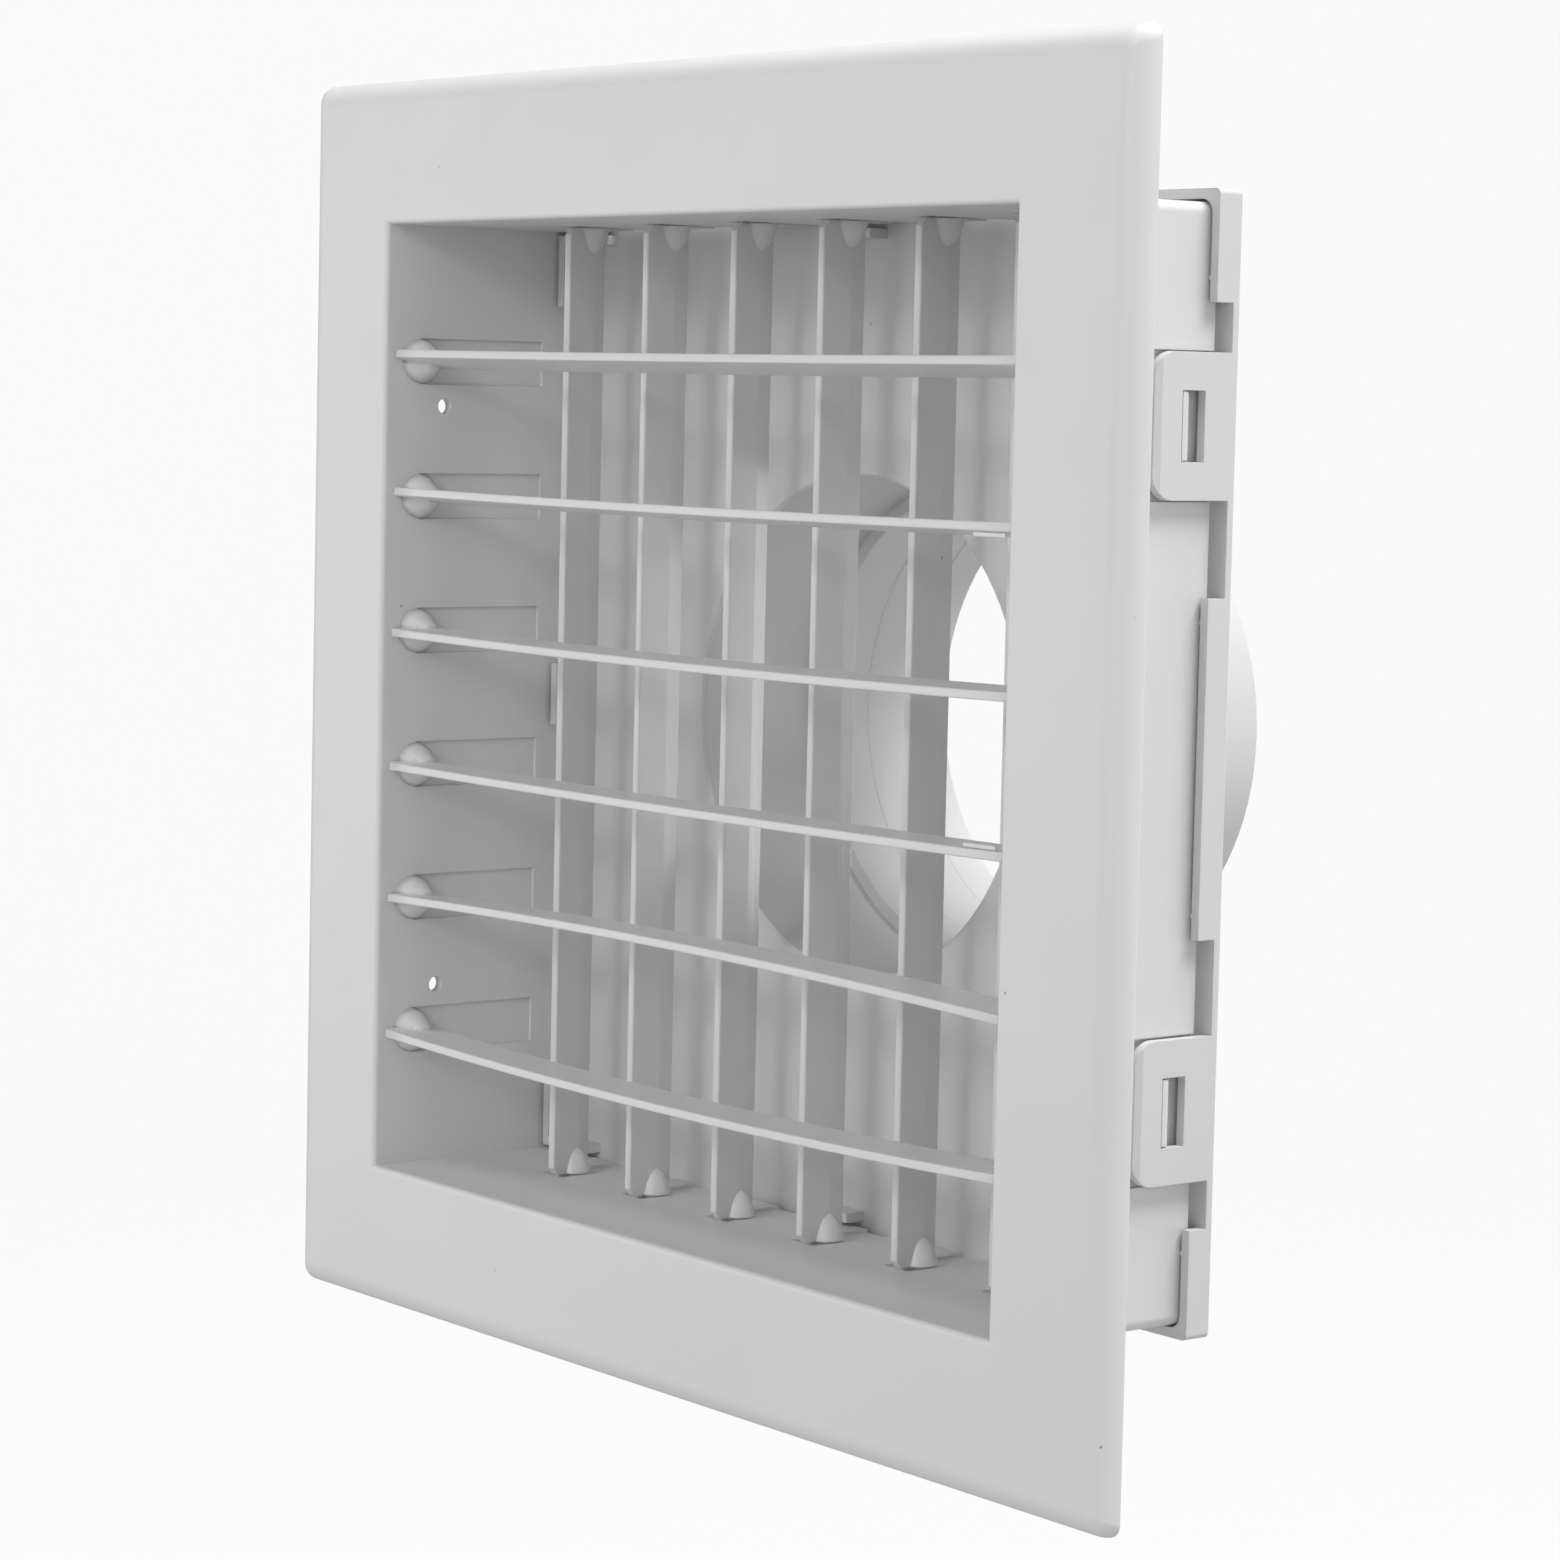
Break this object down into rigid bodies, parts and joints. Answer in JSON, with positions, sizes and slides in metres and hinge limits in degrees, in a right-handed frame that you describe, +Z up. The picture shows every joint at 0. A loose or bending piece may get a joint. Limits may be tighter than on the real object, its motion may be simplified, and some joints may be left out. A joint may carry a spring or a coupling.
{
  "type": "double deflection vent grille with duct adapter",
  "caption": "Square plastic wall grille with crossed rows of turning blades in a deep neck and a clip-on back plate with a round duct spigot.",
  "frame": {"origin": "centre of the square opening in the wall plane, where the flange's rim meets the wall", "axes": "+Y into the wall along the duct, +Z up, +X to the right of the face as seen from the room"},
  "size_m": [0.195, 0.0842, 0.195],
  "materials": {
    "white_plastic": "satin"
  },
  "bodies": {
    "housing": {"face_frame": "white_plastic", "duct_adapter": "white_plastic"},
    "front_vane_1": {"front_blade_1": "white_plastic"},
    "front_vane_2": {"front_blade_2": "white_plastic"},
    "front_vane_3": {"front_blade_3": "white_plastic"},
    "front_vane_4": {"front_blade_4": "white_plastic"},
    "front_vane_5": {"front_blade_5": "white_plastic"},
    "front_vane_6": {"front_blade_6": "white_plastic"},
    "rear_vane_1": {"rear_blade_1": "white_plastic"},
    "rear_vane_2": {"rear_blade_2": "white_plastic"},
    "rear_vane_3": {"rear_blade_3": "white_plastic"},
    "rear_vane_4": {"rear_blade_4": "white_plastic"},
    "rear_vane_5": {"rear_blade_5": "white_plastic"},
    "rear_vane_6": {"rear_blade_6": "white_plastic"}
  },
  "joints": [
    {"name": "front_turn_1", "type": "hinge", "parent": "housing", "child": "front_vane_1", "pos_m": [0, 0.0029, 0.05357], "axis": [1, 0, 0], "range_deg": [-78, 102]},
    {"name": "front_turn_2", "type": "hinge", "parent": "housing", "child": "front_vane_2", "pos_m": [0, 0.0029, 0.03214], "axis": [1, 0, 0], "range_deg": [-82, 98]},
    {"name": "front_turn_3", "type": "hinge", "parent": "housing", "child": "front_vane_3", "pos_m": [0, 0.0029, 0.01071], "axis": [1, 0, 0], "range_deg": [-92, 88]},
    {"name": "front_turn_4", "type": "hinge", "parent": "housing", "child": "front_vane_4", "pos_m": [0, 0.0029, -0.01071], "axis": [1, 0, 0], "range_deg": [-90.5, 89.5]},
    {"name": "front_turn_5", "type": "hinge", "parent": "housing", "child": "front_vane_5", "pos_m": [0, 0.0029, -0.03214], "axis": [1, 0, 0], "range_deg": [-89.5, 90.5]},
    {"name": "front_turn_6", "type": "hinge", "parent": "housing", "child": "front_vane_6", "pos_m": [0, 0.0029, -0.05357], "axis": [1, 0, 0], "range_deg": [-90.5, 89.5]},
    {"name": "rear_turn_1", "type": "hinge", "parent": "housing", "child": "rear_vane_1", "pos_m": [-0.05357, 0.0204, 0], "axis": [0, 0, 1], "range_deg": [-103, 77]},
    {"name": "rear_turn_2", "type": "hinge", "parent": "housing", "child": "rear_vane_2", "pos_m": [-0.03214, 0.0204, 0], "axis": [0, 0, 1], "range_deg": [-95, 85]},
    {"name": "rear_turn_3", "type": "hinge", "parent": "housing", "child": "rear_vane_3", "pos_m": [-0.01071, 0.0204, 0], "axis": [0, 0, 1], "range_deg": [-99.5, 80.5]},
    {"name": "rear_turn_4", "type": "hinge", "parent": "housing", "child": "rear_vane_4", "pos_m": [0.01071, 0.0204, 0], "axis": [0, 0, 1], "range_deg": [-94, 86]},
    {"name": "rear_turn_5", "type": "hinge", "parent": "housing", "child": "rear_vane_5", "pos_m": [0.03214, 0.0204, 0], "axis": [0, 0, 1], "range_deg": [-97.5, 82.5]},
    {"name": "rear_turn_6", "type": "hinge", "parent": "housing", "child": "rear_vane_6", "pos_m": [0.05357, 0.0204, 0], "axis": [0, 0, 1], "range_deg": [-96, 84]}
  ]
}
